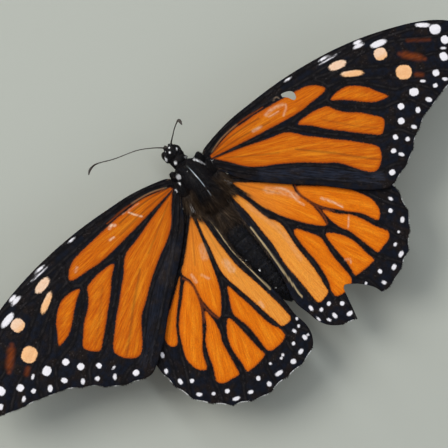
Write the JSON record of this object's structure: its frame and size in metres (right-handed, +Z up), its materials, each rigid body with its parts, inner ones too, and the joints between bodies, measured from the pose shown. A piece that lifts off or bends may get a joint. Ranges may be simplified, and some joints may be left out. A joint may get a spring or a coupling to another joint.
{
  "type": "monarch butterfly",
  "caption": "Life-size still model of a monarch butterfly with orange, black-veined wings spread open, standing on slender legs, one hindwing margin torn.",
  "frame": {"origin": "centre of the bounding box, on the floor under the soles", "axes": "+X to the butterfly's left, across the wingspan; -Y is the way the head points; +Z up"},
  "size_m": [0.1088, 0.0494, 0.024],
  "materials": {
    "wing_scales": "matt overlapping wing scales, orange cells between black veins, black margins with white and peach spots",
    "body_scales": "black scales and short hair with white spots on head, collar and thorax",
    "eye_facets": "dark glossy compound eye",
    "dark_cuticle": "thin black cuticle with a soft shine"
  },
  "bodies": {
    "root": {"abdomen": "body_scales", "antenna_left_club": "dark_cuticle", "antenna_left_shaft": "dark_cuticle", "antenna_right_club": "dark_cuticle", "antenna_right_shaft": "dark_cuticle", "eye_left": "eye_facets", "eye_right": "eye_facets", "foreleg_left": "dark_cuticle", "foreleg_right": "dark_cuticle", "forewing_left": "wing_scales", "forewing_right": "wing_scales", "head": "body_scales", "hindleg_left_femur": "dark_cuticle", "hindleg_left_tarsus": "dark_cuticle", "hindleg_left_tibia": "dark_cuticle", "hindleg_right_femur": "dark_cuticle", "hindleg_right_tarsus": "dark_cuticle", "hindleg_right_tibia": "dark_cuticle", "hindwing_left": "wing_scales", "hindwing_right": "wing_scales", "midleg_left_femur": "dark_cuticle", "midleg_left_tarsus": "dark_cuticle", "midleg_left_tibia": "dark_cuticle", "midleg_right_femur": "dark_cuticle", "midleg_right_tarsus": "dark_cuticle", "midleg_right_tibia": "dark_cuticle", "palp_left": "body_scales", "palp_right": "body_scales", "proboscis_inner": "dark_cuticle", "proboscis_outer": "dark_cuticle", "prothorax": "body_scales", "tegula_left": "body_scales", "tegula_right": "body_scales", "thorax": "body_scales"}
  },
  "joints": []
}
